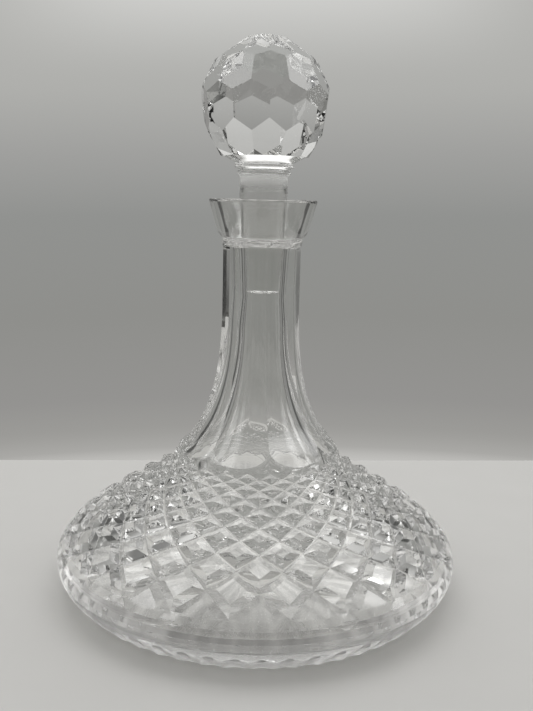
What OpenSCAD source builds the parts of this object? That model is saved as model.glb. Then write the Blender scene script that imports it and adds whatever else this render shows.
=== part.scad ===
// Ship's decanter in cut lead crystal: a broad, low vessel and a faceted ball stopper.
// Millimetres, +Z up. The origin is the centre of the underside. A ridge of the neck faces -Y.

/* [Vessel] */
// Diameter at the widest part of the body
body_d = 190; // [178:1:204]
// Height of the widest part above the underside
rim_z = 18; // [16:0.5:20]
// Diameter of the flat underside
foot_d = 168; // [158:1:174]
// Height of the lip above the underside
vessel_h = 184; // [172:1:200]
// Wall thickness of the body under the cutting
wall = 7; // [6:0.25:8.5]
// Thickness of the floor
floor_t = 9; // [7:0.5:12]

/* [Shoulder curve] */
// Radius where the shoulder turns into the flare of the neck
turn_r = 46; // [44:0.5:48]
// Height of that turn
turn_z = 60; // [56:0.5:64]
// Slope of the surface at the turn, in degrees
turn_slope = 41.4; // [38:0.2:45]
// Upright pull of the curve at the widest part
rim_pull = 14.5; // [12:0.5:17]
// Pull of the shoulder curve at the turn
shoulder_pull = 16.6; // [14:0.2:19]
// Pull of the flare at the turn
flare_pull = 30.8; // [27:0.2:34]
// Upright pull of the flare at the neck
neck_pull = 32.6; // [28:0.2:37]

/* [Neck] */
// Diameter of the round neck before its panels are cut
neck_d = 36.3; // [35:0.1:36.6]
// Length of the straight neck below the lip
neck_straight = 30; // [24:0.5:36]
// Number of flat panels round the neck
panel_count = 8; // [6:1:10]
// Distance from the axis to a flat panel on the straight neck
panel_r = 16.7; // [16:0.1:17]
// Radius at which a panel runs out on the shoulder
panel_exit_r = 38.1; // [37.5:0.1:38.5]
// Slope of a panel where it runs out, in degrees
panel_exit_slope = 30; // [27:0.5:33]
// Height of the rounded run-out at the top of a panel
panel_top_h = 5.5; // [4:0.25:8]

/* [Lip] */
// Outside diameter of the lip
lip_d = 49.4; // [46:0.1:53]
// Height of the flared lip
lip_h = 17.2; // [15:0.1:20]
// Diameter of the ring where the lip stands on the neck
ring_d = 36.8; // [36:0.1:39]
// Inside diameter of the mouth at the rim
mouth_d = 39.9; // [37:0.1:42]
// Rounding of the rim's edges
rim_round = 0.8; // [0.4:0.1:1.4]
// Inside diameter at the bottom of the mouth
throat_d = 28.4; // [25:0.1:30]

/* [Diamond cutting] */
// Number of grooves in each direction
groove_count = 24; // [20:2:28]
// Number of rows of diamonds and run-outs, an even number
cut_rows = 12; // [10:2:14]
// Width of a groove at the surface
groove_w = 7.2; // [6:0.1:8]
// Depth of a groove
groove_depth = 2.5; // [1.8:0.1:2.8]
// Step out from one row of crossings to the next, near the neck
first_step = 1.8; // [1.5:0.05:2.1]
// Distance of the first row of crossings inside the turn
cut_inset = 7.3; // [7:0.1:7.6]
// Width of the plain rim outside the last crossings
plain_rim = 2.9; // [2.4:0.1:4]

/* [Foot cutting] */
// Number of hollow cuts round the foot
foot_cut_count = 54; // [44:1:60]
// Radius of the wheel that makes a hollow cut
foot_wheel_r = 12; // [10:0.5:15]
// Depth of a hollow cut at the underside
foot_cut_depth = 1.1; // [0.8:0.05:1.3]
// Height at which a hollow cut runs out
foot_cut_h = 9; // [6:0.5:11]

/* [Bore] */
// Diameter of the bore below the stopper
bore_d = 19.4; // [18.4:0.1:20.4]
// Clearance between the plug and its ground seat, on the radius
seat_gap = 0.15; // [0.1:0.01:0.3]
// Drop from the ring to the top of the ground seat
seat_drop = 4.8; // [3.5:0.1:7]
// Length of the seat below the end of the plug
seat_over = 2; // [1:0.25:4]

/* [Stopper] */
// Diameter at the top of the ground plug
plug_top_d = 22; // [21.4:0.1:23]
// Diameter at the end of the ground plug
plug_end_d = 16.6; // [15.6:0.1:17.6]
// Length of the ground plug
plug_len = 45.3; // [38:0.1:52]
// Height of the top of the plug above the lip
plug_proud = 3.3; // [2.5:0.1:6]
// Diameter of the stem above the plug
stem_d = 21.6; // [20:0.1:21.8]
// Height of the stem
stem_h = 7.4; // [6:0.1:11]
// Diameter at the foot of the hollow collar
collar_low_d = 23.4; // [22.4:0.1:25]
// Diameter at the top of the hollow collar
collar_top_d = 28.6; // [27:0.1:31]
// Height of the hollow collar
collar_h = 6; // [5:0.1:8]
// Fall of the ball's underside to the collar
under_fall = 2.2; // [1.4:0.1:3]
// Diameter of the ball across opposite facets
ball_d = 54.4; // [51:0.1:60]
// Height of the ball's centre above its flat underside
ball_rise = 24.3; // [23.3:0.1:25.3]
// Number of facets in a row of the ball
facet_count = 11; // [9:1:12]
// Turn of the stopper in its seat, in degrees
stopper_turn = -5; // [-16:1:16]

/* [Hidden] */

crystal_colour = "gainsboro";
stopper_colour = "lightsteelblue";

// Smoothness of curves: pieces of a curve, and sides of a turned face
curve_steps = 16;
$fn = 96;

// A cut tool reaches this far past the glass
overrun = 2;

// Radii
rim_r = body_d / 2;
foot_r = foot_d / 2;
neck_r = neck_d / 2;
lip_r = lip_d / 2;
ring_r = ring_d / 2;
mouth_r = mouth_d / 2;
throat_r = throat_d / 2;
bore_r = bore_d / 2;
plug_top_r = plug_top_d / 2;
plug_end_r = plug_end_d / 2;

// Heights
lip_z = vessel_h;
ring_z = lip_z - lip_h;
neck_z = ring_z - neck_straight;
plug_top_z = lip_z + plug_proud;
plug_end_z = plug_top_z - plug_len;
seat_top_z = ring_z - seat_drop;
seat_end_z = plug_end_z - seat_over;
stem_top_z = plug_top_z + stem_h;
collar_top_z = stem_top_z + collar_h;
ball_low_z = collar_top_z + under_fall;
ball_z = ball_low_z + ball_rise;

// Point on a cubic curve with the four control points p
function curve_point(p, t) =
    pow(1 - t, 3) * p[0] + 3 * pow(1 - t, 2) * t * p[1] + 3 * (1 - t) * t * t * p[2] + pow(t, 3) * p[3];
function curve(p) = [for (i = [0:curve_steps]) curve_point(p, i / curve_steps)];
function without_first(list) = [for (i = [1:len(list) - 1]) list[i]];

// Quarter round from the side of the rim to its top, outside (side 1) or inside (side -1)
round_steps = 4;
function quarter_round(r, side) = [
    for (i = [0:round_steps])
        let (a = 90 * i / round_steps)
        [r - side * rim_round * (1 - cos(a)), lip_z - rim_round * (1 - sin(a))]
];

// Round outside of the uncut glass, as [radius, height], from the widest part up to the neck
slope_way = [-cos(turn_slope), sin(turn_slope)];
turn_at = [turn_r, turn_z];
shoulder_curve = curve([
    [rim_r, rim_z], [rim_r, rim_z + rim_pull], turn_at - shoulder_pull * slope_way, turn_at
]);
flare_curve = curve([
    turn_at, turn_at + flare_pull * slope_way, [neck_r, neck_z - neck_pull], [neck_r, neck_z]
]);
blank_curve = concat(shoulder_curve, without_first(flare_curve));

// Outside of the foot, from the widest part down to the underside
rim_under_pull = 9;
foot_pull = [5, 4.5];
foot_curve = curve([
    [rim_r, rim_z], [rim_r, rim_z - rim_under_pull], [foot_r, 0] + foot_pull, [foot_r, 0]
]);

// Height and slope of the uncut glass at radius r, and a point at a depth below its surface
slope_step = 0.5;
function blank_z(r) = lookup(r, blank_curve);
function blank_slope(r) = atan((blank_z(r - slope_step) - blank_z(r + slope_step)) / (2 * slope_step));
function under_blank(r, turn, depth) =
    let (slope = blank_slope(r), out = r - depth * sin(slope))
    [out * sin(turn), -out * cos(turn), blank_z(r) - depth * cos(slope)];

// Rows of groove crossings. From the third row on the radii step out more from row to row,
// and every second row is turned by half a diamond. The grooves run out at both ends.
cell = 360 / groove_count;
even_rows = 2;
run_in_share = 0.6;
run_out_share = 0.6;
cut_in_r = turn_r - cut_inset;
cut_out_r = rim_r - plain_rim;
step_growth = 2 * (cut_out_r - cut_in_r - first_step * cut_rows) / pow(cut_rows - even_rows, 2);
function row_r(j) = cut_in_r + first_step * j + step_growth * pow(max(0, j - even_rows), 2) / 2;
function row_turn(j, k) = (k + (j % 2) / 2) * cell;
function row_depth(j) = groove_depth * (j == 0 ? run_in_share : j == cut_rows ? run_out_share : 1);

// A diamond's flat top is what two neighbouring grooves leave between them.
// Where they leave nothing its tip is lower than the uncut glass.
least_top = 0.05;
function half_across(j) = row_r(j) * sin(cell / 2);
function half_along(j) = (row_r(j + 1) - row_r(j - 1)) / 2 / cos(blank_slope(row_r(j)));
function groove_spacing(j) =
    2 * half_across(j) * half_along(j) / norm([half_across(j), half_along(j)]);
function top_share(j) = max(least_top, 1 - groove_w / groove_spacing(j));
function tip_depth(j) = groove_depth * max(0, 1 - groove_spacing(j) / groove_w);

// Corners of the diamond right of crossing k in row j: left, up, right, down
function diamond_top(j, k) =
    let (t = top_share(j), mid = row_turn(j, k) + cell / 2, r = row_r(j), depth = tip_depth(j))
    [
        under_blank(r, mid - t * cell / 2, depth),
        under_blank(r + t * (row_r(j - 1) - r), mid, depth),
        under_blank(r, mid + t * cell / 2, depth),
        under_blank(r + t * (row_r(j + 1) - r), mid, depth)
    ];

// The neck stands in the body from this radius, and the body's crown ends just inside it
root_gap = 0.6;
root_r = cut_in_r - root_gap;
root_low_z = turn_z - 2 * groove_depth;
crown_inset = 0.8;
crown_depth = 0.4;
crown_r = root_r - crown_inset;
core_step = [4, 3];

// Points of the body's skin, in rings: crossings, diamond tops, crown, core, apron and rim
crown_count = 2 * groove_count;
rim_count = 4 * groove_count;
last_top = top_share(cut_rows - 1);
apron_r = row_r(cut_rows - 1) + (1 - last_top) * (row_r(cut_rows) - row_r(cut_rows - 1));
rim_land = 1.2;
rim_rings = concat(
    [[rim_r - rim_land, blank_z(rim_r - rim_land)]],
    [for (i = [0:2:curve_steps]) foot_curve[i]]
);
function ring_point(r, z, i, count) = [r * sin(360 * i / count), -r * cos(360 * i / count), z];

crossings = [
    for (j = [0:cut_rows]) for (k = [0:groove_count - 1])
        under_blank(row_r(j), row_turn(j, k), row_depth(j))
];
diamond_tops = [
    for (j = [1:cut_rows - 1]) for (k = [0:groove_count - 1]) each diamond_top(j, k)
];
crown = [
    for (i = [0:crown_count - 1]) under_blank(crown_r, i * cell / 2, crown_depth)
];
core = [
    for (i = [0:crown_count - 1])
        ring_point(crown_r - core_step[0], blank_z(crown_r) - core_step[1], i, crown_count)
];
apron = [
    for (k = [0:groove_count - 1]) under_blank(apron_r, (k + 0.5) * cell, 0)
];
rim_points = [
    for (p = rim_rings) for (i = [0:rim_count - 1]) ring_point(p[0], p[1], i, rim_count)
];
skin_points = concat(crossings, diamond_tops, crown, core, apron, rim_points);

// Places of those rings in the list of points
tops_at = len(crossings);
crown_at = tops_at + len(diamond_tops);
core_at = crown_at + crown_count;
apron_at = core_at + crown_count;
rim_at = apron_at + groove_count;
function crossing(j, k) = j * groove_count + (k + groove_count) % groove_count;
function top_corner(j, k, c) = tops_at + ((j - 1) * groove_count + k) * 4 + c;
function crown_point(i) = crown_at + (i + crown_count) % crown_count;
function core_point(i) = core_at + (i + crown_count) % crown_count;
function rim_point(ring, i) = rim_at + ring * rim_count + (i + rim_count) % rim_count;
function apron_edge(i) =
    let (m = (i + crown_count) % crown_count)
    m % 2 == 0 ? crossing(cut_rows, m / 2) : apron_at + (m - 1) / 2;

// Two triangles for the four corners a, b, c, d
function quad(a, b, c, d) = [[a, b, c], [a, c, d]];

// Four flanks and the top of a diamond
function diamond_faces(j, k) =
    let (
        beside = k + j % 2,
        low = [crossing(j, k), crossing(j - 1, beside), crossing(j, k + 1), crossing(j + 1, beside)],
        top = [for (c = [0:3]) top_corner(j, k, c)]
    )
    concat(
        [for (c = [0:3]) each quad(low[c], low[(c + 1) % 4], top[(c + 1) % 4], top[c])],
        quad(top[0], top[1], top[2], top[3])
    );
function crown_faces(k) = concat(
    quad(crossing(0, k), crown_point(2 * k), crown_point(2 * k + 1), crossing(1, k)),
    quad(crossing(1, k), crown_point(2 * k + 1), crown_point(2 * k + 2), crossing(0, k + 1))
);
function apron_faces(k) = [
    [crossing(cut_rows, k), crossing(cut_rows - 1, k), apron_at + k],
    [crossing(cut_rows - 1, k), crossing(cut_rows, k + 1), apron_at + k]
];
function edge_faces(i) = [
    [apron_edge(i), apron_edge(i + 1), rim_point(0, 2 * i + 1)],
    [apron_edge(i), rim_point(0, 2 * i + 1), rim_point(0, 2 * i)],
    [apron_edge(i + 1), rim_point(0, 2 * i + 2), rim_point(0, 2 * i + 1)]
];
last_ring = len(rim_rings) - 1;
skin_faces = concat(
    [for (j = [1:cut_rows - 1]) for (k = [0:groove_count - 1]) each diamond_faces(j, k)],
    [for (k = [0:groove_count - 1]) each concat(crown_faces(k), apron_faces(k))],
    [
        for (i = [0:crown_count - 1])
            each concat(
                quad(crown_point(i), core_point(i), core_point(i + 1), crown_point(i + 1)),
                edge_faces(i)
            )
    ],
    [
        for (ring = [0:last_ring - 1]) for (i = [0:rim_count - 1])
            each quad(
                rim_point(ring, i), rim_point(ring, i + 1),
                rim_point(ring + 1, i + 1), rim_point(ring + 1, i)
            )
    ],
    [[for (i = [1:crown_count]) core_point(crown_count - i)]],
    [[for (i = [0:rim_count - 1]) rim_point(last_ring, i)]]
);

// Body with its diamond cutting, closed below by the underside
module cut_body() {
    polyhedron(skin_points, skin_faces, convexity = 10);
}

// Round neck and flared lip, before the panels are cut
lip_low_pull = [2.6, 0.6];
lip_high_pull = [2.55, 8.2];
module neck_blank() {
    lip_curve = curve([
        [ring_r, ring_z], [ring_r, ring_z] + lip_low_pull,
        [lip_r, lip_z - rim_round] - lip_high_pull, [lip_r, lip_z - rim_round]
    ]);
    rotate_extrude()
        polygon(concat(
            [[0, root_low_z], [root_r, root_low_z], [root_r, blank_z(root_r)]],
            [for (p = blank_curve) if (p[0] < root_r) p],
            lip_curve,
            without_first(quarter_round(lip_r, 1)),
            [[0, lip_z]]
        ));
}

// Tool that leaves one flat panel: its section follows the flare and is drawn straight across
panel_exit_pull = 14;
panel_neck_pull = 45;
panel_reach = 2 * turn_r;
module panel_tool() {
    exit_at = [panel_exit_r, blank_z(panel_exit_r)];
    exit_way = [cos(panel_exit_slope), -sin(panel_exit_slope)];
    far = exit_at + turn_r * exit_way;
    top_low = [panel_r, ring_z - panel_top_h];
    top_high = [ring_r + root_gap, ring_z - root_gap];
    rotate([90, 0, 0])
        linear_extrude(panel_reach, center = true)
            polygon(concat(
                [far],
                curve([
                    exit_at, exit_at - panel_exit_pull * exit_way,
                    [panel_r, neck_z - panel_neck_pull], [panel_r, neck_z]
                ]),
                curve([top_low, top_low + [0, panel_top_h / 2], top_high - [root_gap, root_gap], top_high]),
                [[far[0], top_high[1]]]
            ));
}

// Tool for one hollow cut of the foot: a round wheel laid along the slope of the foot
module foot_tool() {
    low_r = foot_r - foot_cut_depth;
    high_r = lookup(foot_cut_h, [for (p = foot_curve) [p[1], p[0]]]);
    lean = atan2(high_r - low_r, foot_cut_h);
    translate([low_r, 0, 0])
        rotate([0, lean, 0])
            translate([foot_wheel_r, 0, -3 * foot_wheel_r])
                cylinder(r = foot_wheel_r, h = 6 * foot_wheel_r);
}

// Hollow of the vessel, from the floor up through the bore, the ground seat and the mouth.
// The wall is a little thicker at the widest part.
rim_extra = 1;
floor_corner = 12;
inner_pull = 12;
inner_flare_pull = 28;
inner_neck_pull = 30;
bore_drop = 13;
throat_pull = [2.4, 3];
mouth_pull = [2.6, 9];
function plug_r_at(z) = plug_end_r + (plug_top_r - plug_end_r) * (z - plug_end_z) / plug_len;
module hollow() {
    inner_rim = [rim_r - wall - rim_extra, rim_z];
    inner_turn = turn_at - wall * [sin(turn_slope), cos(turn_slope)];
    inner_bore = [bore_r, seat_end_z - bore_drop];
    seat_end = [plug_r_at(seat_end_z) + seat_gap, seat_end_z];
    seat_top = [plug_r_at(seat_top_z) + seat_gap, seat_top_z];
    throat = [throat_r, ring_z];
    rim_inside = [mouth_r, lip_z - rim_round];
    rotate_extrude()
        polygon(concat(
            [[0, floor_t]],
            curve([
                [inner_rim[0] - floor_corner, floor_t], [inner_rim[0] - floor_corner / 3, floor_t],
                inner_rim - [0, (rim_z - floor_t) / 2], inner_rim
            ]),
            without_first(curve([
                inner_rim, inner_rim + [0, inner_pull], inner_turn - inner_pull * slope_way, inner_turn
            ])),
            without_first(curve([
                inner_turn, inner_turn + inner_flare_pull * slope_way,
                inner_bore - [0, inner_neck_pull], inner_bore
            ])),
            [seat_end],
            curve([seat_top, seat_top + [0, throat_pull[1]], throat - throat_pull, throat]),
            without_first(curve([throat, throat + throat_pull / 2, rim_inside - mouth_pull, rim_inside])),
            without_first(quarter_round(mouth_r, -1)),
            [[mouth_r + rim_round, lip_z + overrun], [0, lip_z + overrun]]
        ));
}

// Blown and cut vessel, one piece of glass
module vessel() {
    color(crystal_colour)
        difference() {
            union() {
                cut_body();
                neck_blank();
            }
            for (i = [0:panel_count - 1])
                rotate([0, 0, (i + 0.5) * 360 / panel_count - 90])
                    panel_tool();
            for (i = [0:foot_cut_count - 1])
                rotate([0, 0, i * 360 / foot_cut_count - 90])
                    foot_tool();
            hollow();
        }
}

// Rows of facets on the ball, as [angle above the middle, distance as a share of the ball's radius],
// and the flat on top of it
facet_rows = [[54, 0.983], [25.5, 0.995], [-7.5, 1.005], [-29, 1.05]];
top_flat = 0.9885;
ball_blank = 1.3;
ball_r = ball_d / 2;

// Solid ball with flat facets ground over it, cut off level below
module faceted_ball() {
    side = 2 * ball_blank * ball_r;
    translate([0, 0, ball_z])
        difference() {
            sphere(r = ball_blank * ball_r);
            for (row = [0:len(facet_rows) - 1])
                for (k = [0:facet_count - 1])
                    rotate([0, -facet_rows[row][0], (k + (row + 1) % 2 / 2) * 360 / facet_count - 90])
                        translate([facet_rows[row][1] * ball_r, -side / 2, -side / 2])
                            cube(side);
            translate([-side / 2, -side / 2, top_flat * ball_r])
                cube(side);
            translate([-side / 2, -side / 2, -side - ball_rise])
                cube(side);
        }
}

// The ball's underside falls to the collar as a cone, from just inside the edges of the lowest facets
low_row = facet_rows[len(facet_rows) - 1];
low_edge_r = (low_row[1] * ball_r + ball_rise * sin(low_row[0])) / cos(low_row[0]);
under_share = 0.965;

// Turned part of the stopper: ground plug, stem, hollow collar with shallow rings, and cone, let into the ball
collar_low_pull = 2.6;
collar_top_pull = [1.3, 2.6];
collar_rings = 2;
collar_ring_rise = 0.3;
plug_chamfer = 1;
module stopper_stem() {
    collar_low = [collar_low_d / 2, stem_top_z];
    collar_top = [collar_top_d / 2, collar_top_z];
    flank = curve([collar_low, collar_low + [0, collar_low_pull], collar_top - collar_top_pull, collar_top]);
    ring_turn = 360 * collar_rings / (len(flank) - 1);
    rotate_extrude()
        polygon(concat(
            [
                [0, plug_end_z],
                [plug_end_r - plug_chamfer, plug_end_z],
                [plug_r_at(plug_end_z + plug_chamfer), plug_end_z + plug_chamfer],
                [plug_top_r, plug_top_z],
                [stem_d / 2, plug_top_z + plug_chamfer],
                [stem_d / 2, stem_top_z - plug_chamfer]
            ],
            [for (i = [0:len(flank) - 1]) flank[i] + [collar_ring_rise * sin(ring_turn * i), 0]],
            [
                [under_share * low_edge_r, ball_low_z],
                [collar_top_d / 2, ball_low_z + overrun],
                [0, ball_low_z + overrun]
            ]
        ));
}

// Stopper, one piece of solid glass
module stopper() {
    color(stopper_colour)
        rotate([0, 0, stopper_turn])
            union() {
                faceted_ball();
                stopper_stem();
            }
}

vessel();
stopper();
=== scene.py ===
"""Ship's decanter in cut lead crystal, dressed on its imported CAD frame."""

from math import atan2, cos, pi, radians, sin, tan

import bpy
import numpy as np
from mathutils import Matrix, Vector

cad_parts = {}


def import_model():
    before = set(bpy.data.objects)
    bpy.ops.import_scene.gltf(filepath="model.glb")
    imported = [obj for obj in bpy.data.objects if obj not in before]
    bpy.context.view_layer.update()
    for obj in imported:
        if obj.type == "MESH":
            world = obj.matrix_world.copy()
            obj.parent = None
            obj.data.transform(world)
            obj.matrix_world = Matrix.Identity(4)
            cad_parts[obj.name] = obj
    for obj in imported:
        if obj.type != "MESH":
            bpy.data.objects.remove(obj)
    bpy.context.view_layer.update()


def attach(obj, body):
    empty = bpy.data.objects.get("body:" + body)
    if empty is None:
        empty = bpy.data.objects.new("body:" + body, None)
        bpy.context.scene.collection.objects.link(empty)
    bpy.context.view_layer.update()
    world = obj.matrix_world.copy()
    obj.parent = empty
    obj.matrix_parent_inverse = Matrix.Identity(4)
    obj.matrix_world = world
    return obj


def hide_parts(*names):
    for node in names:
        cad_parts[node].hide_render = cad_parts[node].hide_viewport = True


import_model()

MM = 0.001

# Sizes in millimetres, as in the CAD part: radius (_R), height above the underside (_Z) and depth (_D)
BODY_R, RIM_Z, FOOT_R = 95.0, 18.0, 84.0
# Where the shoulder turns into the flare of the neck, as radius and height, and the slope there
TURN, TURN_SLOPE = np.array([46.0, 60.0]), radians(41.4)
# How far the control points of the outer curves lie from their ends
RIM_REACH, SHOULDER_REACH, FLARE_REACH, NECK_REACH, FOOT_REACH = 14.5, 16.6, 30.8, 32.6, 9.0
FOOT_OUT, FOOT_UP = 5.0, 4.5
LIP_Z, RING_Z, NECK_Z = 184.0, 166.8, 136.8
NECK_R, RING_R, LIP_R, MOUTH_R, THROAT_R, RIM_ROUND = 18.15, 18.4, 24.7, 19.95, 14.2, 0.8

# Hollow: thickness of the glass, bore, and a ground seat that starts under the ring and ends past the plug
WALL, RIM_WALL, FLOOR_T, CORNER_IN = 7.0, 8.0, 9.0, 12.0
BORE_R, BORE_DROP = 9.7, 13.0
SEAT_GAP, SEAT_DROP, SEAT_PAST = 0.15, 4.8, 2.0

# Diamonds: grooves each way, and rows of crossings with even steps near the neck and growing steps below
GROOVES, GROOVE_W, GROOVE_D = 24, 7.2, 2.5
CUT_ROWS, EVEN_ROWS, CUT_IN, CUT_OUT, FIRST_STEP = 12, 2, 38.7, 92.1, 1.8
# Spacing of small and large diamonds, and the widest flat top as a share of a diamond
SMALL_DIAMOND, LARGE_DIAMOND, FLAT_MAX = 7.0, 14.0, 0.7
# Share of the groove depth at the neck, what the ridges add to it, and the rows over which it ends at the rim
NECK_SHARE, RIDGE_SHARE, END_ROWS = 0.55, 0.2, 0.55

# Neck panels: distance from the axis, radius and slope where they leave the shoulder, reach of their curve
PANELS, PANEL_R, PANEL_EXIT, PANEL_SLOPE = 8, 16.7, 38.1, radians(30)
PANEL_REACH, PANEL_NECK_REACH = 14.0, 45.0
# Height of the rounded run-out under the lip, and how far it goes past the ring
PANEL_RUN_OUT, PANEL_PAST = 5.5, 0.6

# Hollow cuts round the foot, their soft edge, and how many times their height the close rows reach up
FOOT_CUTS, WHEEL_R, FOOT_CUT_D, FOOT_CUT_H, FOOT_SOFT, FOOT_CLOSE = 54, 12.0, 1.1, 9.0, 0.25, 1.3

# Stopper: ground plug, stem, collar with its rings, ball
PLUG_TOP_R, PLUG_END_R = 11.0, 8.3
PLUG_TOP_Z, PLUG_MID_Z, PLUG_END_Z = 187.3, 165.0, 142.0
PLUG_ROUND, PLUG_BEVEL, PLUG_BEVEL_H = 0.3, 2.0, 0.75
STEM_R, STEM_TOP_Z = 10.8, 194.7
COLLAR_LOW_R, COLLAR_TOP_R, COLLAR_TOP_Z, UNDER_R = 11.7, 14.3, 200.7, 18.5
COLLAR_RINGS, COLLAR_RING_D, COLLAR_REACH, COLLAR_STEPS = 2, 0.55, 2.6, 32
BALL_R, BALL_LOW_Z, BALL_Z, BALL_TOP_Z = 27.2, 202.9, 227.2, 254.087
FACETS, FACET_COLUMNS, STOPPER_TURN = 11, 16, radians(-5)
# Rows of facets from the top down: rise in degrees, and distance from the ball's middle as a share of BALL_R
FACET_ROWS = {"T": (54, 0.983), "U": (25.5, 0.995), "M": (-7.5, 1.005), "L": (-29, 1.05)}

# Columns round the axis: whole numbers of them fit a foot cut, half a diamond and half a panel
COLUMNS = 432
STEPS = COLUMNS // (2 * GROOVES)
# The cutting ends two steps past its last row
LAST_STEP = CUT_ROWS * STEPS + 2
TURN_OF = np.arange(COLUMNS) * 2 * pi / COLUMNS

# Steps of the curves that heights are read from, and heights at which panels and round glass are compared
PROFILE_STEPS, PANEL_SAMPLES = 400, 2000
# Angle in degrees between two faces from which their edge is a crease
VESSEL_SHARP, STOPPER_SHARP = 14, 9


def curve(points, steps):
    """Cubic curve: the four control points weighted by the four terms of ((1 - t) + t) cubed."""
    p = np.asarray(points, float)
    t = np.linspace(0, 1, steps + 1)[:, None]
    return (1 - t) ** 3 * p[0] + 3 * (1 - t) ** 2 * t * p[1] + 3 * (1 - t) * t * t * p[2] + t**3 * p[3]


def plug_r_at(z):
    """Ground taper: the radius grows evenly from the plug's end to its top."""
    return PLUG_END_R + (PLUG_TOP_R - PLUG_END_R) * (z - PLUG_END_Z) / (PLUG_TOP_Z - PLUG_END_Z)


SLOPE_WAY = np.array([-cos(TURN_SLOPE), sin(TURN_SLOPE)])
RIM, NECK = np.array([BODY_R, RIM_Z]), np.array([NECK_R, NECK_Z])
SHOULDER = curve([RIM, RIM + [0, RIM_REACH], TURN - SHOULDER_REACH * SLOPE_WAY, TURN], PROFILE_STEPS)
FLARE = curve([TURN, TURN + FLARE_REACH * SLOPE_WAY, NECK - [0, NECK_REACH], NECK], PROFILE_STEPS)
BLANK = np.vstack([SHOULDER, FLARE[1:], [[RING_R, RING_Z]]])
FOOT = curve([RIM, RIM - [0, FOOT_REACH], [FOOT_R + FOOT_OUT, FOOT_UP], [FOOT_R, 0]], PROFILE_STEPS)[::-1]


def blank_r(z):
    """Radius of the uncut glass at a height above the widest part."""
    return np.interp(z, BLANK[:, 1], BLANK[:, 0])


def blank_z(r):
    """Height of the uncut shoulder and flare at a radius."""
    part = BLANK[:-1][::-1]
    return np.interp(r, part[:, 0], part[:, 1])


def blank_slope(r):
    """Slope of the uncut shoulder and flare at a radius, as an angle, taken over 1 mm."""
    return np.arctan2(blank_z(r - 0.5) - blank_z(r + 0.5), 1.0)


def under_blank(r, depth):
    """Point of the shoulder at radius r, moved in by a depth along the normal of the uncut glass."""
    slope = blank_slope(r)
    return r - depth * np.sin(slope), blank_z(r) - depth * np.cos(slope)


def row_r(u):
    """Radius of row u of groove crossings: even steps near the neck, then steps that grow evenly."""
    grow = 2 * (CUT_OUT - CUT_IN - FIRST_STEP * CUT_ROWS) / (CUT_ROWS - EVEN_ROWS) ** 2
    return CUT_IN + FIRST_STEP * u + grow * np.maximum(0, u - EVEN_ROWS) ** 2 / 2


def groove_share(u, v):
    """Share of the full groove depth at row u and diamond v round the axis.

    In the diamond around the nearest centre, rho is the sum of the distances along and across, each as a
    share of the half diagonal. The grooves lie at rho = 1, with a narrow level bottom between small diamonds.
    The flank rises in proportion to the distance from it, to a flat top where the diamond is wider than a
    groove, or to a lowered tip where it is narrower.
    """
    low = np.floor(u)
    away = [np.abs((v - (j % 2) / 2) % 1 - 0.5) for j in (low, low + 1)]
    rho_low, rho_high = u - low + 2 * away[0], low + 1 - u + 2 * away[1]
    row = np.where(rho_low <= rho_high, low, low + 1)
    rho = np.minimum(rho_low, rho_high)
    r = np.minimum(row_r(row), BODY_R - 1)
    across = r * sin(pi / GROOVES)
    along = (row_r(row + 1) - row_r(row - 1)) / 2 / np.cos(blank_slope(r))
    spacing = 2 * across * along / np.hypot(across, along)
    flat = np.round(STEPS * (1 - GROOVE_W / spacing)) / STEPS
    small = np.clip((LARGE_DIAMOND - spacing) / (LARGE_DIAMOND - SMALL_DIAMOND), 0, 1)
    edge = 1 - small / STEPS
    rise = np.where(flat > 0, 1 / (edge - np.clip(flat, 0, FLAT_MAX)), spacing / GROOVE_W)
    return np.maximum(0, 1 - np.maximum(0, edge - rho) * rise)


def run_out(u, turn):
    """Fade of the grooves: just past the last row to the rim, and over the first row to the neck.

    At the neck they reach further up under its ridges than under its panels.
    """
    start = NECK_SHARE + RIDGE_SHARE * np.maximum(0, np.cos(PANELS * turn))
    end = np.clip((LAST_STEP / STEPS - u) / END_ROWS, 0, 1)
    return np.where(u < 1, start + (1 - start) * u, end)


def panel_profile():
    """Distance of a flat panel from the axis by height: curved flare, straight neck, rounded run-out."""
    exit_at = np.array([PANEL_EXIT, blank_z(PANEL_EXIT)])
    exit_way = np.array([cos(PANEL_SLOPE), -sin(PANEL_SLOPE)])
    neck = np.array([PANEL_R, NECK_Z])
    inward = exit_at - PANEL_REACH * exit_way
    low = curve([exit_at, inward, neck - [0, PANEL_NECK_REACH], neck], PROFILE_STEPS)
    top = np.array([RING_R + PANEL_PAST, RING_Z - PANEL_PAST])
    knee = np.array([PANEL_R, RING_Z - PANEL_RUN_OUT])
    high = curve([knee, knee + [0, PANEL_RUN_OUT / 2], top - PANEL_PAST, top], PROFILE_STEPS // 4)
    return np.vstack([low, high])


def first_and_last(heights, inside):
    """First and last height in each column of a table where the value is above zero, between the samples."""
    up = inside > 0
    first = np.argmax(up, 0)
    last = len(heights) - 1 - np.argmax(up[::-1], 0)
    cols = np.arange(inside.shape[1])

    def between(i, k):
        i, k = np.clip(i, 0, len(heights) - 1), np.clip(k, 0, len(heights) - 1)
        a, b = inside[i, cols], inside[k, cols]
        share = np.where(a == b, 0.0, a / np.where(a == b, 1.0, a - b))
        return heights[i] + np.clip(share, 0, 1) * (heights[k] - heights[i])

    return between(first, first - 1), between(last, last + 1)


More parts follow.
